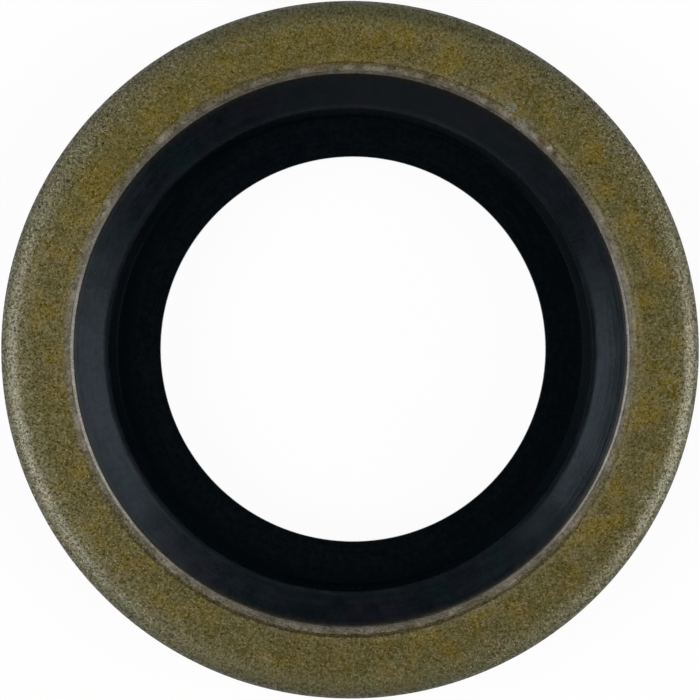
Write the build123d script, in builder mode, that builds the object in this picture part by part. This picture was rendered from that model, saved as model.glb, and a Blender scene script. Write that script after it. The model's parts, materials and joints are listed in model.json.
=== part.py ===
from build123d import *
import math
import os

# A self-centring bonded sealing washer for a G 1/4 port: a steel ring blanked from strip, and one
# rubber element that is moulded into the ring's bore and bonded to it. The rubber has a sealing
# lip on each face, and a thin web that centres the washer on the thread.
#
# Sizes are in millimetres. The origin is the ring's centre at half its thickness, and +Z is the
# washer's axis. Each section is drawn in the XZ plane, with X as the radius, and revolved.

# Steel ring
outer_diameter = 20.57
ring_width = 2.135  # from the ring's own bore out to its edge
ring_thickness = 2.03
die_roll_width = 0.62  # the soft edge that blanking draws down around the upper face
die_roll_depth = 0.30
burr_side_chamfer = 0.12  # the other edge, tumbled to take its burr off

# Land pressed into both faces beside the bore, where the moulding tool shuts off on the ring. The
# bore's own edge is left standing beside it as a low rim, and the rubber ends just under the rim
land_width = 0.32
land_depth = 0.05
land_wall_run = 0.09
rim_width = 0.085  # from the bore out to the land's floor
rim_drop = 0.01  # from the face down to the rim's edge
bond_step = 0.015  # from the rim's edge down to the rubber

# Sealing lips
lip_height = 0.315  # how far each crest stands proud of the ring's face
lip_width = 1.28  # from the ring's bore in to the lip's root on the web
lip_draft = 11.0  # degrees from the axis, on the lip's inner wall
lip_root_radius = 0.03
crest_width = 0.15
crest_radius = 0.03  # on each crest's inner corner
crest_blend_radius = 0.35  # where each crest runs over into the lip's sloping flank
flank_hollow = 0.028  # how far the flank dips below a straight run from its crest to the bond

# Centring web
web_thickness = 0.50
web_bore_diameter = 11.36  # grips the root of the thread
web_bore_offset_x = 0.09  # the trimming leaves the bore a little off the ring's axis
web_bore_offset_y = 0.02

same_place = 0.001  # a section's corner is found within this distance

# Places worked out from the sizes above
outer_radius = outer_diameter / 2
ring_bore_radius = outer_radius - ring_width
face_height = ring_thickness / 2
die_roll_start = outer_radius - die_roll_width
die_roll_end = face_height - die_roll_depth
land_radius = ring_bore_radius + land_width
land_height = face_height - land_depth
rim_height = face_height - rim_drop
bond_height = rim_height - bond_step
web_height = web_thickness / 2
crest_height = face_height + lip_height
lip_root = ring_bore_radius - lip_width
lip_run = (crest_height - web_height) * math.tan(math.radians(lip_draft))
crest_inner = lip_root + lip_run
crest_outer = crest_inner + crest_width


with BuildPart() as metal_ring:
    with BuildSketch(Plane.XZ) as ring_section:
        with Locations((ring_bore_radius, 0)):
            Rectangle(ring_width, ring_thickness, align=(Align.MIN, Align.CENTER))

        # The land's sloping outer wall, its floor and the rim's slope up to the bore, on both faces
        with BuildLine():
            Polyline(
                (ring_bore_radius, face_height),
                (land_radius, face_height),
                (land_radius - land_wall_run, land_height),
                (ring_bore_radius + rim_width, land_height),
                (ring_bore_radius, rim_height),
                close=True,
            )
        upper_land = make_face(mode=Mode.SUBTRACT)
        mirror(upper_land, about=Plane.XZ, mode=Mode.SUBTRACT)

        # The die roll leaves the face smoothly and meets the sheared outer wall at an angle
        with BuildLine():
            Polyline(
                (die_roll_start, face_height),
                (outer_radius, face_height),
                (outer_radius, die_roll_end),
            )
            TangentArc(
                (die_roll_start, face_height),
                (outer_radius, die_roll_end),
                tangent=(1, 0),
            )
        make_face(mode=Mode.SUBTRACT)
        burr_corner = ring_section.vertices().group_by(Axis.Y)[0].sort_by(Axis.X)[-1]
        chamfer(burr_corner, length=burr_side_chamfer)
    revolve(axis=Axis.Z)

metal_ring.part.label = "metal_ring"


with BuildPart() as rubber_seal:
    with BuildSketch(Plane.XZ) as seal_section:
        with BuildLine():
            flank = SagittaArc(
                (ring_bore_radius, bond_height),
                (crest_outer, crest_height),
                flank_hollow,
            )
            Polyline(
                flank @ 0,
                (ring_bore_radius, 0),
                (0, 0),
                (0, web_height),
                (lip_root, web_height),
                (crest_inner, crest_height),
                flank @ 1,
            )
        upper_half = make_face()
        mirror(upper_half, about=Plane.XZ)
        for corner_radius, rounding in (
            (crest_outer, crest_blend_radius),
            (crest_inner, crest_radius),
            (lip_root, lip_root_radius),
        ):
            corners = seal_section.vertices().filter_by_position(
                Axis.X, corner_radius - same_place, corner_radius + same_place
            )
            fillet(corners, radius=rounding)
    revolve(axis=Axis.Z)

    # The web is moulded whole, and its bore is trimmed through it afterwards
    with Locations((web_bore_offset_x, web_bore_offset_y)):
        Hole(radius=web_bore_diameter / 2)

rubber_seal.part.label = "rubber_seal"


os.makedirs("parts", exist_ok=True)
export_step(metal_ring.part, "parts/metal_ring.step")
export_step(rubber_seal.part, "parts/rubber_seal.step")
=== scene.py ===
import json
import math

import bmesh
import bpy
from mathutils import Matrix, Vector


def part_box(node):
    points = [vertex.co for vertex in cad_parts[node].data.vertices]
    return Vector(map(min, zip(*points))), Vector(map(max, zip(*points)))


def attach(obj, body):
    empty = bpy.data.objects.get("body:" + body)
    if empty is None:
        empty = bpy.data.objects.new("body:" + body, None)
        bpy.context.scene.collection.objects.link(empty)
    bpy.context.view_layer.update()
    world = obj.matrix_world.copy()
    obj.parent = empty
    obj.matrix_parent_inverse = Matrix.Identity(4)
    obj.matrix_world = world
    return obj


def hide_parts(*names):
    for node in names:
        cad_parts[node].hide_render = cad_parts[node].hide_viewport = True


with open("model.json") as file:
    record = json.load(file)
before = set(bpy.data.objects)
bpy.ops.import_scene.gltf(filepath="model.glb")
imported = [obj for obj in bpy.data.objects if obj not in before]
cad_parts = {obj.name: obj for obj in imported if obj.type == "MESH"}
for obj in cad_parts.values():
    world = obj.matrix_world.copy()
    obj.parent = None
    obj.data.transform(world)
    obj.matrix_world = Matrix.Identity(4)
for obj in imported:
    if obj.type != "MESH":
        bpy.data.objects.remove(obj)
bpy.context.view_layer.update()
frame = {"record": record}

# A bonded sealing washer, lying flat: a blasted and yellow passivated steel ring, with one black
# rubber moulding bonded into its bore. Blender's lengths are metres. The sections and the
# materials below are written in millimetres, and MM turns them into metres.
# The model stands as it is packed: the origin is the ring's centre, and Z is its axis.

MM = 0.001


# ---------------------------------------------------------------------------------------------
# Sizes, in millimetres. The frame gives the outer sizes, so that both pieces fit it exactly.
# ---------------------------------------------------------------------------------------------

ring_low, ring_high = (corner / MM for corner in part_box("metal_ring"))
seal_low, seal_high = (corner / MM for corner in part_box("rubber_seal"))
thread_bore = next(m for m in frame["record"]["mounts"] if m["name"] == "thread_bore")

# Steel ring
skin = 0.002  # the finished surfaces lie this far inside the frame's box
outer_radius = min(ring_high.x, ring_high.y, -ring_low.x, -ring_low.y) - skin
face_height = ring_high.z
bore_radius = min(seal_high.x, seal_high.y, -seal_low.x, -seal_low.y)  # rubber is bonded here
die_roll_width = 0.62
die_roll_depth = 0.30
die_roll_points = 14
roll_start = outer_radius - die_roll_width
sheared_edge_rounding = 0.035
burr_side_chamfer = 0.12
burr_side_rounding = 0.06
land_width = 0.32
land_depth = 0.05
land_wall_run = 0.09
land_rounding = 0.02
land_wander = 0.01
land_radius = bore_radius + land_width
land_height = face_height - land_depth
rim_width = 0.085
rim_drop = 0.01
rim_rounding = 0.012
rim_wander = 0.012
rim_shift = Vector((0.011, -0.013, 0))  # the bore's edge leans this way
bond_step = 0.015

# Rubber moulding
crest_height = seal_high.z
lip_width = 1.28
lip_draft = 13.5  # degrees from the axis, on the lip's inner wall
lip_root_rounding = 0.0015
crest_width = 0.105
crest_blend = 0.35  # the crest runs over into the lip's flank by this radius
crest_edge_rounding = 0.01
crest_edge_wander = 0.05
crest_blend_wander = 0.02
flank_hollow = 0.028  # how far the flank dips below a straight run from the crest to the steel
flank_points = 7
bond_height = face_height - rim_drop - bond_step
web_thickness = thread_bore["dims"]["length_mm"]
web_height = web_thickness / 2
web_edge_rounding = 0.02
web_bore_radius = thread_bore["dims"]["r_mm"]
web_bore_centre = Vector(thread_bore["pos_m"]) / MM
lip_root = bore_radius - lip_width
crest_inner = lip_root + (crest_height - web_height) * math.tan(math.radians(lip_draft))
crest_outer = crest_inner + crest_width

# Sides of the washer, as directions from the axis, where a finish differs from the rest, most of them by
# painted light
left_lamp_side = (-1.0, -0.25, 0.0)  # painted light from the left lamp is strongest here
deep_side = (-0.50, 0.87, 0.0)  # its yellow is deepest here
back_light_side = (0.26, 0.97, 0.0)  # painted light on the rubber's lip, as from a dim light at the back, is strongest here
back_lit_wall_side = (0.15, -0.99, 0.0)  # painted light on the lip's inner wall, as from the same dim light, is strongest here

# Radii that lie inside and outside everything, for a band that is open on one side
at_the_axis = 0.0
past_the_edge = 12.0

# Marks of handling on the upper face: place across the washer, reach, and screen colour
marks = (
    ((5.02, 6.57), 0.18, (122, 121, 108)),  # the land rubbed pale
    ((5.64, 6.10), 0.13, (92, 62, 36)),  # rust beside it
    ((5.86, 5.92), 0.075, (172, 168, 156)),  # a bright nick
    ((4.73, 7.10), 0.14, (116, 118, 100)),  # a pale fleck on the face
    ((-1.25, 8.28), 0.11, (104, 78, 46)),  # two brown spots on the land
    ((-0.90, 8.28), 0.11, (104, 78, 46)),
    ((-8.35, 0.24), 0.09, (58, 64, 56)),  # a dark one across from them
)


# ---------------------------------------------------------------------------------------------
# Node helpers
# ---------------------------------------------------------------------------------------------


def add(tree, kind, inputs=None, **settings):
    """Adds a node, sets its properties, then links or sets its inputs, by name or by number."""
    node = tree.nodes.new(kind)
    for name, value in settings.items():
        setattr(node, name, value)
    for key, value in (inputs or {}).items():
        if isinstance(value, bpy.types.NodeSocket):
            tree.links.new(value, node.inputs[key])
        else:
            node.inputs[key].default_value = value
    return node


def maths(tree, operation, *values, clamp=False):
    """One Math node in a shader tree or a geometry tree."""
    node = add(tree, "ShaderNodeMath", dict(enumerate(values)), operation=operation, use_clamp=clamp)
    return node.outputs[0]


def vector_maths(tree, operation, *values, output="Vector"):
    """One Vector Math node."""
    node = add(tree, "ShaderNodeVectorMath", dict(enumerate(values)), operation=operation)
    return node.outputs[output]


def scaled(tree, vector, factor):
    """A vector times one number."""
    node = add(tree, "ShaderNodeVectorMath", {0: vector, "Scale": factor}, operation="SCALE")
    return node.outputs[0]


def noise_value(tree, place, scale, detail, roughness):
    """A Noise Texture's value."""
    node = add(
        tree,
        "ShaderNodeTexNoise",
        {"Vector": place, "Scale": scale, "Detail": detail, "Roughness": roughness},
    )
    return node.outputs[0]


def spread_out(tree, value, low, high):
    """Stretches the values from low to high over 0 to 1, and clamps what lies outside."""
    node = add(tree, "ShaderNodeMapRange", {"Value": value, "From Min": low, "From Max": high})
    return node.outputs[0]


def new_tree(name, kind, inputs, outputs):
    """A node group with named sockets. Each socket is a name with its type and its first value."""
    tree = bpy.data.node_groups.new(name, kind)
    for label, (socket_type, value) in inputs.items():
        socket = tree.interface.new_socket(label, in_out="INPUT", socket_type=socket_type)
        if value is not None:
            socket.default_value = value
    for label, socket_type in outputs.items():
        tree.interface.new_socket(label, in_out="OUTPUT", socket_type=socket_type)
    return tree, tree.nodes.new("NodeGroupInput").outputs, tree.nodes.new("NodeGroupOutput").inputs


# ---------------------------------------------------------------------------------------------
# The pieces: each is a section turned round the axis by one geometry tree
# ---------------------------------------------------------------------------------------------


def carried(tree, label):
    """A value that the section's points carry."""
    return add(tree, "GeometryNodeInputNamedAttribute", {"Name": label}).outputs[0]


def position(tree):
    """Where the point in hand is."""
    return add(tree, "GeometryNodeInputPosition").outputs[0]


def moved(tree, geometry, offset):
    """Moves each point by its own offset."""
    inputs = {"Geometry": geometry, "Offset": offset}
    return add(tree, "GeometryNodeSetPosition", inputs).outputs[0]


def stepped_section(tree, given):
    """Rounds the section's corners, then cuts its long runs into even steps."""
    loop = add(tree, "GeometryNodeMeshToCurve", {"Mesh": given["Section"]}).outputs[0]
    rounding = {
        "Curve": loop,
        "Count": given["Corner steps"],
        "Radius": carried(tree, "rounding"),
        "Limit Radius": True,
    }
    rounded = add(tree, "GeometryNodeFilletCurve", rounding, mode="POLY").outputs[0]
    here = position(tree)
    point = add(tree, "GeometryNodeInputIndex").outputs[0]
    next_point = add(tree, "GeometryNodeOffsetPointInCurve", {0: point, 1: 1}).outputs["Point Index"]
    at_next = {0: here, 1: next_point}
    there = add(tree, "GeometryNodeFieldAtIndex", at_next, data_type="FLOAT_VECTOR").outputs[0]
    run = vector_maths(tree, "DISTANCE", here, there, output="Value")
    cuts = maths(tree, "FLOOR", maths(tree, "DIVIDE", run, given["Point spacing"]))
    return add(tree, "GeometryNodeSubdivideCurve", {"Curve": rounded, "Cuts": cuts}).outputs[0]


def turned_section(tree, given, section):
    """Turns the section round the Z axis, along a circular path.

    A profile's X runs out from its path and its Y runs down.
    """
    drawn = add(tree, "ShaderNodeSeparateXYZ", {0: position(tree)}).outputs
    from_path = maths(tree, "SUBTRACT", drawn["X"], given["Path radius"])
    down = maths(tree, "MULTIPLY", drawn["Z"], -1.0)
    profile_point = add(tree, "ShaderNodeCombineXYZ", {"X": from_path, "Y": down}).outputs[0]
    laid_flat = {"Geometry": section, "Position": profile_point}
    profile = add(tree, "GeometryNodeSetPosition", laid_flat).outputs[0]
    ring = {"Resolution": given["Steps round"], "Radius": given["Path radius"]}
    circle = add(tree, "GeometryNodeCurvePrimitiveCircle", ring).outputs[0]
    path = add(tree, "GeometryNodeSetCurveNormal", {"Curve": circle}, mode="Z_UP").outputs[0]
    return add(tree, "GeometryNodeCurveToMesh", {"Curve": path, "Profile Curve": profile}).outputs[0]


def own_lift(tree, given):
    """Lifts each wander into its own part of the noise, so that no two are alike."""
    apart = 7.3
    height = maths(tree, "MULTIPLY_ADD", carried(tree, "phase"), apart, given["Seed"])
    return add(tree, "ShaderNodeCombineXYZ", {"Z": height}).outputs[0]


def wandered(tree, given, piece, lift):
    """Lets the edges wander in and out on their way round, and the trimmed bore lie off the axis."""
    flat = vector_maths(tree, "MULTIPLY", position(tree), (1, 1, 0))
    outward = vector_maths(tree, "NORMALIZE", flat)
    around = vector_maths(tree, "ADD", scaled(tree, outward, given["Wander waves"]), lift)
    wave = noise_value(tree, around, scale=1.0, detail=3.0, roughness=0.55)
    either_way = maths(tree, "SUBTRACT", maths(tree, "MULTIPLY", wave, 2.0), 1.0)
    wander = scaled(tree, outward, maths(tree, "MULTIPLY", either_way, carried(tree, "wander")))
    shift = scaled(tree, given["Bore shift"], carried(tree, "bore_pull"))
    return moved(tree, piece, vector_maths(tree, "ADD", wander, shift))


def dimpled(tree, given, piece, lift):
    """Presses shallow dimples into the skin, never outwards."""
    seeded = vector_maths(tree, "ADD", position(tree), lift)
    scale = maths(tree, "DIVIDE", 1.0, given["Dimple size"])
    dimple = noise_value(tree, seeded, scale, detail=1.0, roughness=0.5)
    inward = maths(tree, "MULTIPLY", maths(tree, "MULTIPLY", dimple, given["Dimple depth"]), -1.0)
    normal = add(tree, "GeometryNodeInputNormal").outputs[0]
    return moved(tree, piece, scaled(tree, normal, inward))


def turned_piece_tree():
    """Turns a closed section, drawn as radius and height, into a solid ring round the Z axis.

    The section's points carry the rounding of their corner, how far they wander in and out as
    they go round, which wander they follow, and how much of the bore's shift they take.
    """
    tree, given, made = new_tree(
        "turned_piece",
        "GeometryNodeTree",
        {
            "Section": ("NodeSocketGeometry", None),
            "Steps round": ("NodeSocketInt", 720),
            "Corner steps": ("NodeSocketInt", 6),
            "Point spacing": ("NodeSocketFloat", 0.08 * MM),
            "Path radius": ("NodeSocketFloat", 9.0 * MM),
            "Wander waves": ("NodeSocketFloat", 1.5),
            "Dimple depth": ("NodeSocketFloat", 0.004 * MM),
            "Dimple size": ("NodeSocketFloat", 0.3 * MM),
            "Bore shift": ("NodeSocketVector", (0, 0, 0)),
            "Seed": ("NodeSocketFloat", 1.0),
            "Finish": ("NodeSocketMaterial", None),
        },
        {"Piece": "NodeSocketGeometry"},
    )
    lift = own_lift(tree, given)
    piece = turned_section(tree, given, stepped_section(tree, given))
    piece = wandered(tree, given, piece, lift)
    piece = dimpled(tree, given, piece, lift)
    smooth = add(tree, "GeometryNodeSetShadeSmooth", {"Geometry": piece}).outputs[0]
    real = add(tree, "GeometryNodeRealizeInstances", {"Geometry": smooth}).outputs[0]
    finish = {"Geometry": real, "Material": given["Finish"]}
    finished = add(tree, "GeometryNodeSetMaterial", finish).outputs[0]
    tree.links.new(finished, made["Piece"])
    return tree


def corner(radius, height, rounding=0.0, wander=0.0, phase=0.0, bore_pull=0.0):
    """One corner of a section, in millimetres. A wander is how far the corner strays either way."""
    return {
        "place": Vector((radius, 0, height)) * MM,
        "rounding": rounding * MM,
        "wander": wander * MM,
        "phase": phase,
        "bore_pull": bore_pull,
    }


def section_mesh(name, corners):
    """The closed outline of a section as a mesh of edges, with what its corners carry."""
    count = len(corners)
    mesh = bpy.data.meshes.new(name)
    edges = [(number, (number + 1) % count) for number in range(count)]
    mesh.from_pydata([c["place"] for c in corners], edges, [])
    for label in ("rounding", "wander", "phase", "bore_pull"):
        values = mesh.attributes.new(label, "FLOAT", "POINT")
        values.data.foreach_set("value", [c[label] for c in corners])
    return mesh


def turn(name, corners, tree, sizes):
    """Runs the turning tree on a section and keeps the result as a plain mesh object."""
    holder = bpy.data.objects.new(name + "_section", section_mesh(name + "_section", corners))
    bpy.context.scene.collection.objects.link(holder)
    modifier = holder.modifiers.new("turn", "NODES")
    modifier.node_group = tree
    sockets = [item for item in tree.interface.items_tree if item.in_out == "INPUT"]
    identifiers = {socket.name: socket.identifier for socket in sockets}
    for label, value in sizes.items():
        modifier[identifiers[label]] = value
    seen = holder.evaluated_get(bpy.context.evaluated_depsgraph_get())
    mesh = bpy.data.meshes.new_from_object(seen)
    section = holder.data
    bpy.data.objects.remove(holder)
    bpy.data.meshes.remove(section)

    shape = bmesh.new()
    shape.from_mesh(mesh)
    bmesh.ops.recalc_face_normals(shape, faces=shape.faces)
    shape.to_mesh(mesh)
    shape.free()
    mesh.name = name
    piece = bpy.data.objects.new(name, mesh)
    bpy.context.scene.collection.objects.link(piece)
    return piece


def ring_corners():
    """The ring's section: the rims and pressed lands at the bore, the die roll, the burr side."""
    rim_height = face_height - rim_drop
    half_turn = math.atan2(die_roll_depth, die_roll_width)
    roll_radius = math.hypot(die_roll_width, die_roll_depth) / (2 * math.sin(half_turn))

    corners = [
        corner(bore_radius, bond_height),
        corner(bore_radius, rim_height, rim_rounding, rim_wander, phase=1, bore_pull=1.0),
        corner(bore_radius + rim_width, land_height, land_rounding, rim_wander, phase=1),
        corner(land_radius - land_wall_run, land_height, land_rounding, land_wander, phase=2),
        corner(land_radius, face_height, land_rounding, land_wander, phase=2),
    ]
    for step in range(die_roll_points + 1):
        angle = 2 * half_turn * step / die_roll_points
        radius = roll_start + roll_radius * math.sin(angle)
        height = face_height - roll_radius * (1 - math.cos(angle))
        edge = step == die_roll_points
        corners.append(corner(radius, height, sheared_edge_rounding if edge else 0.0))
    corners += [
        corner(outer_radius, burr_side_chamfer - face_height, burr_side_rounding),
        corner(outer_radius - burr_side_chamfer, -face_height, burr_side_rounding),
        corner(land_radius, -face_height, land_rounding, land_wander, phase=3),
        corner(land_radius - land_wall_run, -land_height, land_rounding, land_wander, phase=3),
        corner(bore_radius + rim_width, -land_height, land_rounding, rim_wander, phase=4),
        corner(bore_radius, -rim_height, rim_rounding, rim_wander, phase=4),
        corner(bore_radius, -bond_height),
    ]
    return corners


def seal_corners():
    """The moulding's section: a lip on each face, and the slim web down to the trimmed bore.

    It runs outwards along the upper side and back along the lower side, as the ring's does.
    """
    corners = []
    for side in (1, -1):
        wave = side + 5
        half = [
            corner(web_bore_radius, side * web_height, web_edge_rounding, bore_pull=1.0),
            corner(lip_root, side * web_height, lip_root_rounding),
            corner(crest_inner, side * crest_height, crest_edge_rounding, crest_edge_wander, wave),
            corner(crest_outer, side * crest_height, crest_blend, crest_blend_wander, wave),
        ]
        for step in range(1, flank_points + 1):
            along = step / flank_points
            radius = crest_outer + (bore_radius - crest_outer) * along
            straight = crest_height + (bond_height - crest_height) * along
            height = straight - flank_hollow * 4 * along * (1 - along)
            half.append(corner(radius, side * height))
        corners += half if side > 0 else half[::-1]
    return corners


# ---------------------------------------------------------------------------------------------
# Effects that the finishes are made with, as shader groups. Lengths in them are millimetres.
# ---------------------------------------------------------------------------------------------


def place_group():
    """Where a point of the washer is: its place, its radius, its height and its way round."""
    tree, given, made = new_tree(
        "washer_place",
        "ShaderNodeTree",
        {"Object": ("NodeSocketVector", None)},
        {
            "Place": "NodeSocketVector",
            "Radius": "NodeSocketFloat",
            "Height": "NodeSocketFloat",
            "Round": "NodeSocketVector",
        },
    )
    place = scaled(tree, given["Object"], 1 / MM)
    flat = vector_maths(tree, "MULTIPLY", place, (1, 1, 0))
    tree.links.new(place, made["Place"])
    tree.links.new(vector_maths(tree, "LENGTH", flat, output="Value"), made["Radius"])
    tree.links.new(add(tree, "ShaderNodeSeparateXYZ", {0: place}).outputs["Z"], made["Height"])
    tree.links.new(vector_maths(tree, "NORMALIZE", flat), made["Round"])
    return tree


def grain_group():
    """Fine grain with a few larger lumps. Both outputs run from 0 to 1."""
    tree, given, made = new_tree(
        "fine_grain",
        "ShaderNodeTree",
        {
            "Place": ("NodeSocketVector", None),
            "Grain size": ("NodeSocketFloat", 0.06),
            "Lump size": ("NodeSocketFloat", 0.4),
            "Seed": ("NodeSocketFloat", 0.0),
        },
        {"Grain": "NodeSocketFloat", "Lumps": "NodeSocketFloat"},
    )
    offset = add(tree, "ShaderNodeCombineXYZ", {"X": given["Seed"], "Z": given["Seed"]}).outputs[0]
    place = vector_maths(tree, "ADD", given["Place"], offset)
    for label, size, roughness, low, high in (
        ("Grain", "Grain size", 0.85, 0.36, 0.64),
        ("Lumps", "Lump size", 0.6, 0.3, 0.7),
    ):
        scale = maths(tree, "DIVIDE", 1.0, given[size])
        noise = noise_value(tree, place, scale, 3.0, roughness)
        tree.links.new(spread_out(tree, noise, low, high), made[label])
    return tree


def specks_group():
    """Small facets, as blasting leaves them: each has its own random value from 0 to 1."""
    tree, given, made = new_tree(
        "blasted_specks",
        "ShaderNodeTree",
        {
            "Place": ("NodeSocketVector", None),
            "Speck size": ("NodeSocketFloat", 0.05),
            "Seed": ("NodeSocketFloat", 0.0),
        },
        {"Specks": "NodeSocketFloat"},
    )
    offset = add(tree, "ShaderNodeCombineXYZ", {"Y": given["Seed"]}).outputs[0]
    place = vector_maths(tree, "ADD", given["Place"], offset)
    scale = maths(tree, "DIVIDE", 1.0, given["Speck size"])
    cells = add(tree, "ShaderNodeTexVoronoi", {"Vector": place, "Scale": scale}).outputs["Color"]
    tree.links.new(add(tree, "ShaderNodeSeparateXYZ", {0: cells}).outputs["X"], made["Specks"])
    return tree


def streaks_group():
    """Fine streaks that run round the axis, as a tool or a mould leaves them. Runs from 0 to 1."""
    tree, given, made = new_tree(
        "round_streaks",
        "ShaderNodeTree",
        {
            "Across": ("NodeSocketFloat", 0.0),
            "Round": ("NodeSocketVector", None),
            "Streak width": ("NodeSocketFloat", 0.1),
            "Turns of change": ("NodeSocketFloat", 3.0),
        },
        {"Streaks": "NodeSocketFloat"},
    )
    across = maths(tree, "DIVIDE", given["Across"], given["Streak width"])
    along = scaled(tree, given["Round"], given["Turns of change"])
    lifted = add(tree, "ShaderNodeCombineXYZ", {"Z": across}).outputs[0]
    noise = noise_value(tree, vector_maths(tree, "ADD", along, lifted), 1.0, 2.0, 0.6)
    tree.links.new(spread_out(tree, noise, 0.3, 0.7), made["Streaks"])
    return tree


def band_group():
    """1 between two values and 0 outside them, with soft edges that a ragged value pushes about."""
    tree, given, made = new_tree(
        "soft_band",
        "ShaderNodeTree",
        {
            "Value": ("NodeSocketFloat", 0.0),
            "From": ("NodeSocketFloat", 0.0),
            "To": ("NodeSocketFloat", 1.0),
            "Softness": ("NodeSocketFloat", 0.05),
            "Ragged": ("NodeSocketFloat", 0.5),
            "Raggedness": ("NodeSocketFloat", 0.0),
        },
        {"Band": "NodeSocketFloat"},
    )
    centred = maths(tree, "SUBTRACT", given["Ragged"], 0.5)
    value = maths(tree, "MULTIPLY_ADD", centred, given["Raggedness"], given["Value"])
    half = maths(tree, "MULTIPLY", given["Softness"], 0.5)

    def edge(place, before, after):
        """Runs smoothly from one value to another over the softness of an edge."""
        inputs = {
            "Value": value,
            "From Min": maths(tree, "SUBTRACT", place, half),
            "From Max": maths(tree, "ADD", place, half),
            "To Min": before,
            "To Max": after,
        }
        return add(tree, "ShaderNodeMapRange", inputs, interpolation_type="SMOOTHSTEP").outputs[0]

    rising = edge(given["From"], 0.0, 1.0)
    falling = edge(given["To"], 1.0, 0.0)
    tree.links.new(maths(tree, "MULTIPLY", rising, falling), made["Band"])
    return tree


# ---------------------------------------------------------------------------------------------
# Finishes
# ---------------------------------------------------------------------------------------------


def shade(red, green, blue):
    """A colour given as 0 to 255 screen values, as the renderer wants it."""
    def linear(value):
        value /= 255
        return value / 12.92 if value <= 0.04045 else ((value + 0.055) / 1.055) ** 2.4
    return (linear(red), linear(green), linear(blue), 1.0)


class Finish:
    """A material with its tree, its shader and the place of the point that is shaded."""

    def __init__(self, name, effects):
        self.material = bpy.data.materials.new(name)
        self.material.use_nodes = True
        self.tree = self.material.node_tree
        self.shader = self.tree.nodes["Principled BSDF"].inputs
        self.effects = effects
        coordinates = add(self.tree, "ShaderNodeTexCoord").outputs["Object"]
        where = self.effect("place", Object=coordinates)
        self.place = where["Place"]
        self.radius = where["Radius"]
        self.height = where["Height"]
        self.round = where["Round"]

    def effect(self, name, **inputs):
        """Places an effect in the material. Underscores in its inputs' names stand for spaces."""
        values = {label.replace("_", " "): value for label, value in inputs.items()}
        return add(self.tree, "ShaderNodeGroup", values, node_tree=self.effects[name]).outputs

    def feed(self, socket, value):
        """Links a value to one of the shader's inputs."""
        self.tree.links.new(value, self.shader[socket])

    def maths(self, operation, *values, clamp=False):
        """One Math node in the material."""
        return maths(self.tree, operation, *values, clamp=clamp)

    def share(self, first, *others):
        """Shares multiplied together."""
        result = first
        for other in others:
            result = self.maths("MULTIPLY", result, other)
        return result

    def spread(self, value, low, high):
        """Stretches the values from low to high over 0 to 1."""
        return spread_out(self.tree, value, low, high)

    def ramp(self, share, start, end):
        """A number that runs from start to end as a share goes from 0 to 1."""
        return self.maths("MULTIPLY_ADD", share, end - start, start)

    def beyond(self, height):
        """1 where a point lies further from the middle plane than a height, and 0 elsewhere."""
        return self.maths("GREATER_THAN", self.maths("ABSOLUTE", self.height), height)

    def blend(self, share, first_colour, second_colour):
        """A colour that runs from the first to the second as a share goes from 0 to 1."""
        node = add(self.tree, "ShaderNodeMix", {"Factor": share}, data_type="RGBA")
        first_end, second_end = (socket for socket in node.inputs if socket.type == "RGBA")
        for socket, colour in ((first_end, first_colour), (second_end, second_colour)):
            if isinstance(colour, bpy.types.NodeSocket):
                self.tree.links.new(colour, socket)
            else:
                socket.default_value = colour
        return next(socket for socket in node.outputs if socket.type == "RGBA")

    def laid(self, colour, over, *shares):
        """Lays another colour over a colour, by shares multiplied together."""
        return self.blend(self.share(*shares), colour, over)

    def leaned(self, colour, value, low_colour, high_colour, share):
        """Leans a colour to one side where a value is low, and to the other where it is high."""
        middle = 0.5
        low_end = 0.12
        high_end = 0.88
        colour = self.laid(colour, low_colour, self.spread(value, middle, low_end), share)
        return self.laid(colour, high_colour, self.spread(value, middle, high_end), share)

    def towards(self, side):
        """How far a point lies towards a side of the washer: 1 there, and -1 across from it."""
        return vector_maths(self.tree, "DOT_PRODUCT", self.round, side, output="Value")

    def band(self, start, end, soft, ragged=0.5, by=0.0, value=None):
        """The share of a soft band between two radii, or between two ends of another value.

        What is ragged, from 0 to 1, pushes the band's edges about by a width in millimetres.
        """
        across = self.radius if value is None else value
        return self.effect(
            "band", Value=across, From=start, To=end, Softness=soft, Ragged=ragged, Raggedness=by
        )["Band"]

    def grain(self, grain_size, lump_size, seed):
        """Fine grain and larger lumps."""
        return self.effect(
            "grain", Place=self.place, Grain_size=grain_size, Lump_size=lump_size, Seed=seed
        )

    def specks(self, size, seed):
        """Random facets."""
        return self.effect("specks", Place=self.place, Speck_size=size, Seed=seed)["Specks"]

    def streaks(self, across, width, turns):
        """Streaks that run round the axis."""
        return self.effect(
            "streaks", Across=across, Round=self.round, Streak_width=width, Turns_of_change=turns
        )["Streaks"]

    def stain(self, x, y, reach, ragged):
        """A ragged spot on the upper face, at a place in millimetres."""
        middle = (x, y, face_height)
        distance = vector_maths(self.tree, "DISTANCE", self.place, middle, output="Value")
        return self.band(-2 * reach, reach, soft=reach, ragged=ragged, by=reach, value=distance)

    def relief(self, *layers):
        """Feeds the shader's normal with layers of height, each with its depth in millimetres."""
        normal = None
        for height, depth in layers:
            inputs = {"Height": height, "Distance": depth * MM, "Strength": 1.0}
            if normal is not None:
                inputs["Normal"] = normal
            normal = add(self.tree, "ShaderNodeBump", inputs).outputs[0]
        self.feed("Normal", normal)


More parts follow.
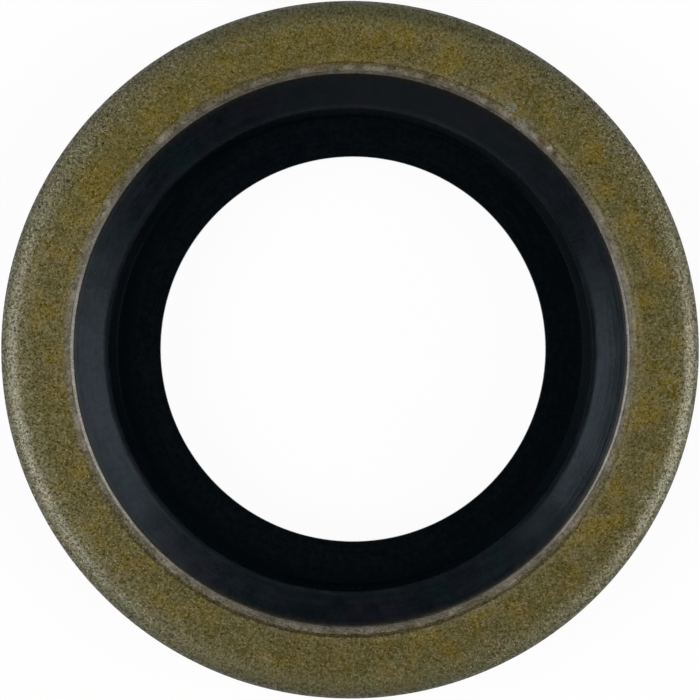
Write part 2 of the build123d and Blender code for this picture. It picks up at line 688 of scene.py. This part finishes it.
class PassivatedSteel(Finish):
    """Blasted steel with a yellow passivate, greyer where the rolled edge and the lands are worn."""

    def __init__(self, effects):
        super().__init__("passivated_steel", effects)
        self.speckle, self.lumps = self.grain(grain_size=0.085, lump_size=0.8, seed=3.0)
        self.blotch, self.tint = self.grain(grain_size=0.3, lump_size=1.2, seed=11.0)
        self.patches, self.wide_patches = self.grain(grain_size=0.22, lump_size=0.6, seed=17.0)
        self.drift = self.grain(grain_size=0.9, lump_size=2.6, seed=29.0)["Lumps"]
        smooth_noise = noise_value(self.tree, self.place, scale=1.25, detail=1.0, roughness=0.5)
        self.clouds = self.spread(smooth_noise, 0.3, 0.7)
        self.facets = self.specks(size=0.04, seed=5.0)

        # Shares that follow the way round: X runs to the right and Y to the back
        across = add(self.tree, "ShaderNodeSeparateXYZ", {0: self.round}).outputs
        self.rightwards = across["X"]
        self.backwards = across["Y"]
        self.sideways = self.maths("ABSOLUTE", self.rightwards)
        self.left = self.spread(self.rightwards, 0.6, -0.6)
        self.front = self.spread(self.backwards, -0.4, -1.0)
        # Painted light and painted glints are strongest towards the left lamp
        self.lit_by_left_lamp = self.spread(self.towards(left_lamp_side), 0.45, 0.95)

        # Where the passivate has gone: over the die roll, on the lands and on the bore's rims
        # On the left the worn band reaches further in: partly painted highlight, where the left lamp's
        # highlight reaches further in
        further_on_the_left = 0.14
        worn_radius = self.maths("MULTIPLY_ADD", self.left, further_on_the_left, self.radius)
        worn_start = roll_start + 0.04
        self.worn = self.band(
            worn_start, past_the_edge, soft=0.75, ragged=self.blotch, by=0.5, value=worn_radius
        )
        low_edge_start = outer_radius - 0.15
        self.low_edge = self.band(low_edge_start, past_the_edge, soft=0.1, ragged=self.lumps, by=0.06)
        on_a_face = self.beyond(land_height - 0.02)
        land_end = land_radius - land_wall_run / 2
        land = self.band(at_the_axis, land_end, soft=0.12, ragged=self.lumps, by=0.1)
        self.land = self.share(land, on_a_face)
        rim_end = bore_radius + rim_width + 0.03
        rim = self.band(at_the_axis, rim_end, soft=0.05, ragged=self.blotch, by=0.05)
        self.rim = self.share(rim, on_a_face)
        self.bare = self.maths("MAXIMUM", self.worn, self.land)

    def passivate(self):
        """The passivate's own colour: mustard where the film is thicker, and a paler olive where it is
        thinner.
        """
        pale_olive = shade(98, 88, 30)
        mustard = shade(86, 73, 0)
        colour = self.blend(self.spread(self.tint, 0.2, 0.8), pale_olive, mustard)
        for pattern, low_colour, high_colour, share in (
            (self.drift, shade(93, 86, 56), shade(96, 84, 0), 1.0),  # greyish to deep yellow
            (self.lumps, shade(81, 67, 0), shade(104, 96, 57), 0.8),  # mustard to straw
            (self.blotch, shade(66, 57, 0), shade(109, 101, 68), 0.65),  # dark to pale
            (self.clouds, shade(113, 95, 0), shade(80, 77, 36), 0.6),  # amber to olive
        ):
            colour = self.leaned(colour, pattern, low_colour, high_colour, share)
        # Painted light: the face is paler towards the left lamp
        straw = shade(112, 104, 56)
        colour = self.laid(colour, straw, self.lit_by_left_lamp, 0.15)
        deep_yellow = shade(96, 83, 0)
        deep = self.spread(self.towards(deep_side), 0.55, 1.0)
        return self.laid(colour, deep_yellow, deep, 0.4)

    def worn_roll(self, colour):
        """The die roll has lost its colour, unevenly. A painted highlight lies across its start, and a
        dark greenish line of painted shade runs along its edge.
        """
        warm_grey = shade(95, 87, 48)
        green_grey = shade(87, 86, 47)
        bare_steel = self.blend(self.spread(self.clouds, 0.2, 0.8), warm_grey, green_grey)
        colour = self.laid(colour, bare_steel, self.worn)
        # Painted highlight of the left lamp, across the start of the roll
        pale_straw = shade(120, 114, 80)
        belt = self.band(roll_start - 0.21, roll_start + 0.19, soft=0.35, ragged=self.blotch, by=0.2)
        colour = self.laid(colour, pale_straw, belt, self.lit_by_left_lamp, 0.3)
        # Painted shade along the steep outer edge
        dark_green = shade(69, 67, 38)
        return self.laid(colour, dark_green, self.low_edge)

    def painted_front_shade(self, colour):
        """Painted shade: face and roll alike are darker towards the front."""
        dark_olive = shade(58, 48, 6)
        return self.laid(colour, dark_olive, self.front, 0.22)

    def bare_lands(self, colour):
        """The lands are bare: pinkish grey in patches, with a rim at the bore that comes and goes."""
        dark_grey = shade(56, 52, 36)
        pinkish_grey = shade(124, 114, 97)
        brown = shade(66, 58, 28)
        light_grey = shade(150, 141, 128)
        lamp_lit_grey = shade(150, 143, 126)
        shaded_grey = shade(66, 62, 50)
        land_colour = self.blend(self.patches, dark_grey, pinkish_grey)
        land_colour = self.laid(land_colour, brown, self.spread(self.wide_patches, 0.5, 0.9))
        land_colour = self.laid(land_colour, light_grey, self.spread(self.wide_patches, 0.4, 0.0))
        # Painted light: the lands are paler at the left and right, towards the lamps
        land_colour = self.laid(land_colour, lamp_lit_grey, self.spread(self.sideways, 0.8, 1.0), 0.3)
        # Painted shade: the lands are darker towards the front
        land_colour = self.laid(land_colour, shaded_grey, self.front, 0.3)
        colour = self.laid(colour, land_colour, self.land, 0.85)
        bright_rim = shade(108, 103, 92)
        dull_rim = shade(54, 50, 38)
        return self.laid(colour, self.blend(self.wide_patches, bright_rim, dull_rim), self.rim)

    def land_border(self, colour):
        """Painted shade darkens the land's wall on the left, and a fine dark line of painted shade runs
        outside it. A pale painted highlight runs beyond.
        """
        dark_brown = shade(58, 50, 28)
        wall_foot = land_radius - land_wall_run
        wall = self.band(wall_foot - 0.015, land_radius - 0.005, soft=0.05, ragged=self.blotch, by=0.03)
        # Painted shade on the land's wall, on the left
        colour = self.laid(colour, dark_brown, wall, self.left, 0.3)
        # Painted shade: a fine dark line outside the wall, strongest at the front and back, away from the
        # lamps
        line_colour = shade(44, 37, 18)
        line = self.band(land_radius - 0.015, land_radius + 0.02, soft=0.02, ragged=self.blotch, by=0.03)
        less_at_the_back = -0.25
        either_end = self.maths("ABSOLUTE", self.backwards)
        front_or_back = self.maths("MULTIPLY_ADD", self.backwards, less_at_the_back, either_end)
        colour = self.laid(colour, line_colour, line, self.spread(front_or_back, 0.1, 0.9), 0.85)
        # Painted highlight beyond the line, strongest towards the right lamp
        pale_straw = shade(122, 116, 92)
        edge = self.band(land_radius + 0.035, land_radius + 0.145, soft=0.08, ragged=self.blotch, by=0.08)
        return self.laid(colour, pale_straw, edge, self.spread(self.rightwards, -0.6, 1.0), 0.42)

    def handled(self, colour):
        """The few marks of handling."""
        strength = 0.85
        for (x, y), reach, mark_colour in marks:
            mark = self.stain(x, y, reach, ragged=self.blotch)
            colour = self.laid(colour, shade(*mark_colour), mark, strength)
        return colour

    def blasted(self, colour, pitted):
        """Blasting leaves pits and facets all over, the faintest on the lands: the pits are grain
        darkened by painted shade, and the light facets are painted glints.
        """
        off_the_land = self.ramp(self.land, 1.0, 0.5)
        # The painted glints and shade are strong on the roll at the left and right, faint at its front
        # and back, and stronger towards the left lamp
        along_the_roll = self.ramp(self.spread(self.sideways, 0.2, 0.8), -0.46, 0.2)
        on_the_roll = self.share(self.worn, along_the_roll)
        specks_by_left_lamp = self.share(self.lit_by_left_lamp, self.ramp(self.worn, 0.25, 0.0))
        strength = self.maths("ADD", self.maths("ADD", off_the_land, on_the_roll), specks_by_left_lamp)
        pit_in_passivate = shade(54, 47, 0)
        pit_in_steel = shade(34, 31, 18)
        pit_colour = self.blend(self.bare, pit_in_passivate, pit_in_steel)
        colour = self.laid(colour, pit_colour, pitted, strength)
        light_grain = self.share(self.spread(self.speckle, 0.5, 1.0), 0.23)
        painted_glints = self.share(self.spread(self.facets, 0.85, 1.0), 0.52)
        lightest = self.maths("MAXIMUM", light_grain, painted_glints)
        glint_on_passivate = shade(150, 142, 110)
        glint_on_steel = shade(170, 166, 143)
        glint_colour = self.blend(self.bare, glint_on_passivate, glint_on_steel)
        return self.laid(colour, glint_colour, lightest, strength)

    def finish(self):
        """Feeds the shader and gives the finished material."""
        pits = self.share(self.spread(self.speckle, 0.5, 0.0), 0.6)
        pitted = self.maths("MAXIMUM", pits, self.spread(self.facets, 0.15, 0.0))
        colour = self.passivate()
        colour = self.worn_roll(colour)
        colour = self.painted_front_shade(colour)
        colour = self.bare_lands(colour)
        colour = self.land_border(colour)
        colour = self.handled(colour)
        self.feed("Base Color", self.blasted(colour, pitted))

        # The passivate hides part of the metal, and more of it shows on the roll and in the pits
        more_in_the_pits = 0.4
        through_the_passivate = self.ramp(self.worn, 0.6, 0.7)
        metal = self.maths("MULTIPLY_ADD", pitted, more_in_the_pits, through_the_passivate, clamp=True)
        self.feed("Metallic", metal)
        smoother_where_bare = -0.08
        uneven = self.ramp(self.blotch, 0.42, 0.54)
        self.feed("Roughness", self.maths("MULTIPLY_ADD", self.bare, smoother_where_bare, uneven))

        # The roll and the rims glint as through a smooth coat
        glint = self.spread(self.speckle, 0.135, 0.52)
        off_the_edge = self.ramp(self.low_edge, 1.0, 0.9)
        rolled = self.share(self.worn, off_the_edge, glint)
        self.feed("Coat Weight", self.maths("MAXIMUM", rolled, self.rim))
        self.shader["Coat Roughness"].default_value = 0.33
        self.relief((self.speckle, 0.009), (self.lumps, 0.01))
        return self.material


class BlackRubber(Finish):
    """Moulded nitrile rubber: near black and satin, with a faint bloom on the lip's flank."""

    def __init__(self, effects):
        super().__init__("black_rubber", effects)
        self.speckle, self.patches = self.grain(grain_size=0.05, lump_size=0.5, seed=21.0)
        self.mottle, self.tint = self.grain(grain_size=0.16, lump_size=1.3, seed=35.0)
        self.swell = noise_value(self.tree, self.place, scale=1.2, detail=0.0, roughness=0.5)
        self.mould_lines = self.streaks(self.radius, width=0.09, turns=4.0)
        flank_start = crest_inner + 0.025
        self.flank = self.band(flank_start, past_the_edge, soft=0.25, ragged=self.patches, by=0.15)
        self.inner_wall = self.band(lip_root - 0.005, crest_inner - 0.055, soft=0.03)

    def bloomed(self):
        """The bloom is blue-grey, here greener and there more violet, and lies in streaks."""
        clean_rubber = (0.0010, 0.0020, 0.0028, 1)
        green_bloom = (0.0010, 0.0082, 0.0078, 1)
        violet_bloom = (0.0105, 0.0062, 0.0125, 1)
        bloom = self.share(self.flank, self.ramp(self.mould_lines, 0.5, 1.0), self.patches)
        colour = self.laid(clean_rubber, self.blend(self.tint, green_bloom, violet_bloom), bloom)

        # Painted light, as from a dim light at the back, makes the lip paler on one side, and the web has
        # no bloom
        back_lit_green = (0.0075, 0.0100, 0.0105, 1)
        back_lit_violet = (0.0085, 0.0090, 0.0120, 1)
        lip_start = lip_root + 0.085
        lip = self.band(lip_start, past_the_edge, soft=0.15, ragged=self.patches, by=0.1)
        toward_back_light = self.spread(self.towards(back_light_side), 0.7, 1.0)
        back_lit_sheen = self.blend(self.tint, back_lit_green, back_lit_violet)
        colour = self.laid(colour, back_lit_sheen, toward_back_light, lip, 0.75)
        clean_web = (0.0002, 0.0010, 0.0018, 1)
        web = self.band(at_the_axis, lip_root - 0.005, soft=0.06)
        colour = self.laid(colour, clean_web, web)

        # Painted light, as from the same dim light, makes the lip's inner wall paler towards the front
        back_lit_wall = (0.0022, 0.0058, 0.0082, 1)
        on_this_side = self.spread(self.towards(back_lit_wall_side), 0.1, 0.9)
        return self.laid(colour, back_lit_wall, self.inner_wall, on_this_side)

    def bond_and_steel_reflection(self, colour):
        """Beside the steel the moulding is brownish grey, and palest along the bond: partly a painted
        reflection of the steel.
        """
        brownish = shade(25, 23, 18)
        strip_start = bore_radius - 0.105
        strip = self.band(strip_start, past_the_edge, soft=0.12, ragged=self.mottle, by=0.06)
        colour = self.laid(colour, brownish, strip)
        bond_grey = shade(70, 66, 58)
        bond_start = bore_radius - 0.025
        bond = self.band(bond_start, past_the_edge, soft=0.04, ragged=self.mottle, by=0.03)
        return self.laid(colour, bond_grey, bond, 0.6)

    def finish(self):
        """Feeds the shader and gives the finished material."""
        self.feed("Base Color", self.bond_and_steel_reflection(self.bloomed()))
        self.shader["Specular IOR Level"].default_value = 0.13
        self.shader["Specular Tint"].default_value = (0.70, 0.87, 1.0, 1)

        # Satin, duller at the crest's inner corner and smoother down the wall below it
        uneven = self.maths("ADD", self.share(self.mottle, 0.13), self.share(self.mould_lines, 0.08))
        crest = self.band(crest_inner - 0.025, crest_outer + 0.01, soft=0.1, ragged=self.patches, by=0.05)
        crest_corner = self.share(crest, self.beyond(crest_height - 0.05))
        dull = self.maths("ADD", self.ramp(crest_corner, 0.19, 0.34), self.share(self.inner_wall, -0.13))
        self.feed("Roughness", self.maths("ADD", uneven, dull))
        drawn_lines = self.share(self.mould_lines, self.flank)
        self.relief((drawn_lines, 0.003), (self.swell, 0.02), (self.speckle, 0.001))
        return self.material


# ---------------------------------------------------------------------------------------------
# Floor, light and camera
# ---------------------------------------------------------------------------------------------


def softbox(name, azimuth, elevation, distance, spread, radiance):
    """A square soft lamp aimed at the washer. Azimuth runs from +X towards +Y, in degrees."""
    around = math.radians(azimuth)
    up = math.radians(elevation)
    direction = Vector((math.cos(around) * math.cos(up), math.sin(around) * math.cos(up), math.sin(up)))
    side = 2 * distance * math.tan(math.radians(spread) / 2)
    lamp = bpy.data.lights.new(name, "AREA")
    lamp.shape = "SQUARE"
    lamp.size = side
    lamp.energy = radiance * math.pi * side * side
    holder = bpy.data.objects.new(name, lamp)
    holder.location = direction * distance
    holder.rotation_euler = direction.to_track_quat("Z", "Y").to_euler()
    holder.visible_camera = False
    bpy.context.scene.collection.objects.link(holder)


def studio_world():
    """A dim room: dark overhead and pale towards the horizon, the most at its left and right ends."""
    world = bpy.data.worlds.new("studio_room")
    world.use_nodes = True
    tree = world.node_tree
    tree.nodes.clear()
    place = add(tree, "ShaderNodeTexCoord").outputs["Generated"]
    direction = add(tree, "ShaderNodeSeparateXYZ", {0: place}).outputs
    overhead = 0.12
    horizon = 0.6
    ends_alone = 0.45  # this share of the horizon's light is seen only at the ends of the room
    fall_off = 1.4
    low_down = maths(tree, "SUBTRACT", 1.0, direction["Z"], clamp=True)
    to_the_ends = maths(tree, "ABSOLUTE", direction["X"])
    sideways = maths(tree, "MULTIPLY_ADD", to_the_ends, ends_alone, 1 - ends_alone)
    glow = maths(tree, "MULTIPLY", maths(tree, "POWER", low_down, fall_off), sideways)
    strength = maths(tree, "MULTIPLY_ADD", glow, horizon, overhead)
    white_light = {"Color": (1, 1, 1, 1), "Strength": strength}
    background = add(tree, "ShaderNodeBackground", white_light).outputs[0]
    output = tree.nodes.new("ShaderNodeOutputWorld")
    tree.links.new(background, output.inputs["Surface"])
    bpy.context.scene.world = world


def studio_floor():
    """A plain white floor. Camera, mirror and glass rays see it near full white, shadows kept."""
    half = 1.6
    level = -crest_height * MM
    corners = [(-half, -half, level), (half, -half, level), (half, half, level), (-half, half, level)]
    mesh = bpy.data.meshes.new("studio_floor")
    mesh.from_pydata(corners, [], [(0, 1, 2, 3)])
    floor = bpy.data.objects.new("studio_floor", mesh)
    bpy.context.scene.collection.objects.link(floor)
    material = bpy.data.materials.new("white_floor")
    material.use_nodes = True
    tree = material.node_tree
    tree.nodes.clear()
    paint = add(tree, "ShaderNodeBsdfDiffuse", {"Color": (0.85, 0.85, 0.85, 1)}).outputs[0]
    white = add(tree, "ShaderNodeEmission", {"Color": (1, 1, 1, 1), "Strength": 1.0}).outputs[0]
    ray = add(tree, "ShaderNodeLightPath").outputs
    camera_or_mirror = maths(tree, "MAXIMUM", ray["Is Camera Ray"], ray["Is Glossy Ray"])
    seen = maths(tree, "MAXIMUM", camera_or_mirror, ray["Is Transmission Ray"])
    white_share = 0.95
    share = maths(tree, "MULTIPLY", seen, white_share)
    front = add(tree, "ShaderNodeMixShader", {0: share, 1: paint, 2: white}).outputs[0]
    clear = add(tree, "ShaderNodeBsdfTransparent").outputs[0]
    back = add(tree, "ShaderNodeNewGeometry").outputs["Backfacing"]
    surface = add(tree, "ShaderNodeMixShader", {0: back, 1: front, 2: clear}).outputs[0]
    output = tree.nodes.new("ShaderNodeOutputMaterial")
    tree.links.new(surface, output.inputs["Surface"])
    mesh.materials.append(material)


def camera_above():
    """The camera looks straight down on the washer, which all but fills its square frame."""
    frame_pixels = 700
    centre_pixel = (350.01, 349.71)
    pixel = 0.029455 * MM  # one pixel at the height that is looked at
    looked_at_height = 0.7 * MM
    lens = 400.0
    sensor = 36.0
    camera = bpy.data.cameras.new("camera_above")
    camera.lens = lens
    camera.sensor_width = sensor
    camera.clip_start = 0.01
    camera.clip_end = 10.0
    distance = frame_pixels * pixel * lens / sensor
    holder = bpy.data.objects.new("camera_above", camera)
    middle = frame_pixels / 2
    holder.location = (
        (middle - centre_pixel[0]) * pixel,
        (centre_pixel[1] - middle) * pixel,
        looked_at_height + distance,
    )
    bpy.context.scene.collection.objects.link(holder)
    bpy.context.scene.camera = holder


effects = {
    "place": place_group(),
    "grain": grain_group(),
    "specks": specks_group(),
    "streaks": streaks_group(),
    "band": band_group(),
}
turning = turned_piece_tree()
steel_ring = turn(
    "steel_ring",
    ring_corners(),
    turning,
    {
        "Steps round": 580,
        "Point spacing": 0.09 * MM,
        "Bore shift": rim_shift * MM,
        "Finish": PassivatedSteel(effects).finish(),
        "Seed": 3.0,
    },
)
sealing_rubber = turn(
    "sealing_rubber",
    seal_corners(),
    turning,
    {
        "Steps round": 600,
        "Point spacing": 0.085 * MM,
        "Path radius": 7.0 * MM,
        "Bore shift": web_bore_centre * MM,
        "Finish": BlackRubber(effects).finish(),
        "Seed": 8.0,
    },
)
for piece, node, finish in (
    (steel_ring, "metal_ring", "passivated_steel"),
    (sealing_rubber, "rubber_seal", "black_rubber"),
):
    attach(piece, "root")
    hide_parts(node)

softbox("left_softbox", azimuth=192, elevation=46, distance=0.6, spread=40, radiance=4.2)
softbox("right_softbox", azimuth=348, elevation=34, distance=0.6, spread=40, radiance=4.2)
studio_world()
studio_floor()
camera_above()
bpy.context.scene.view_settings.view_transform = "Standard"
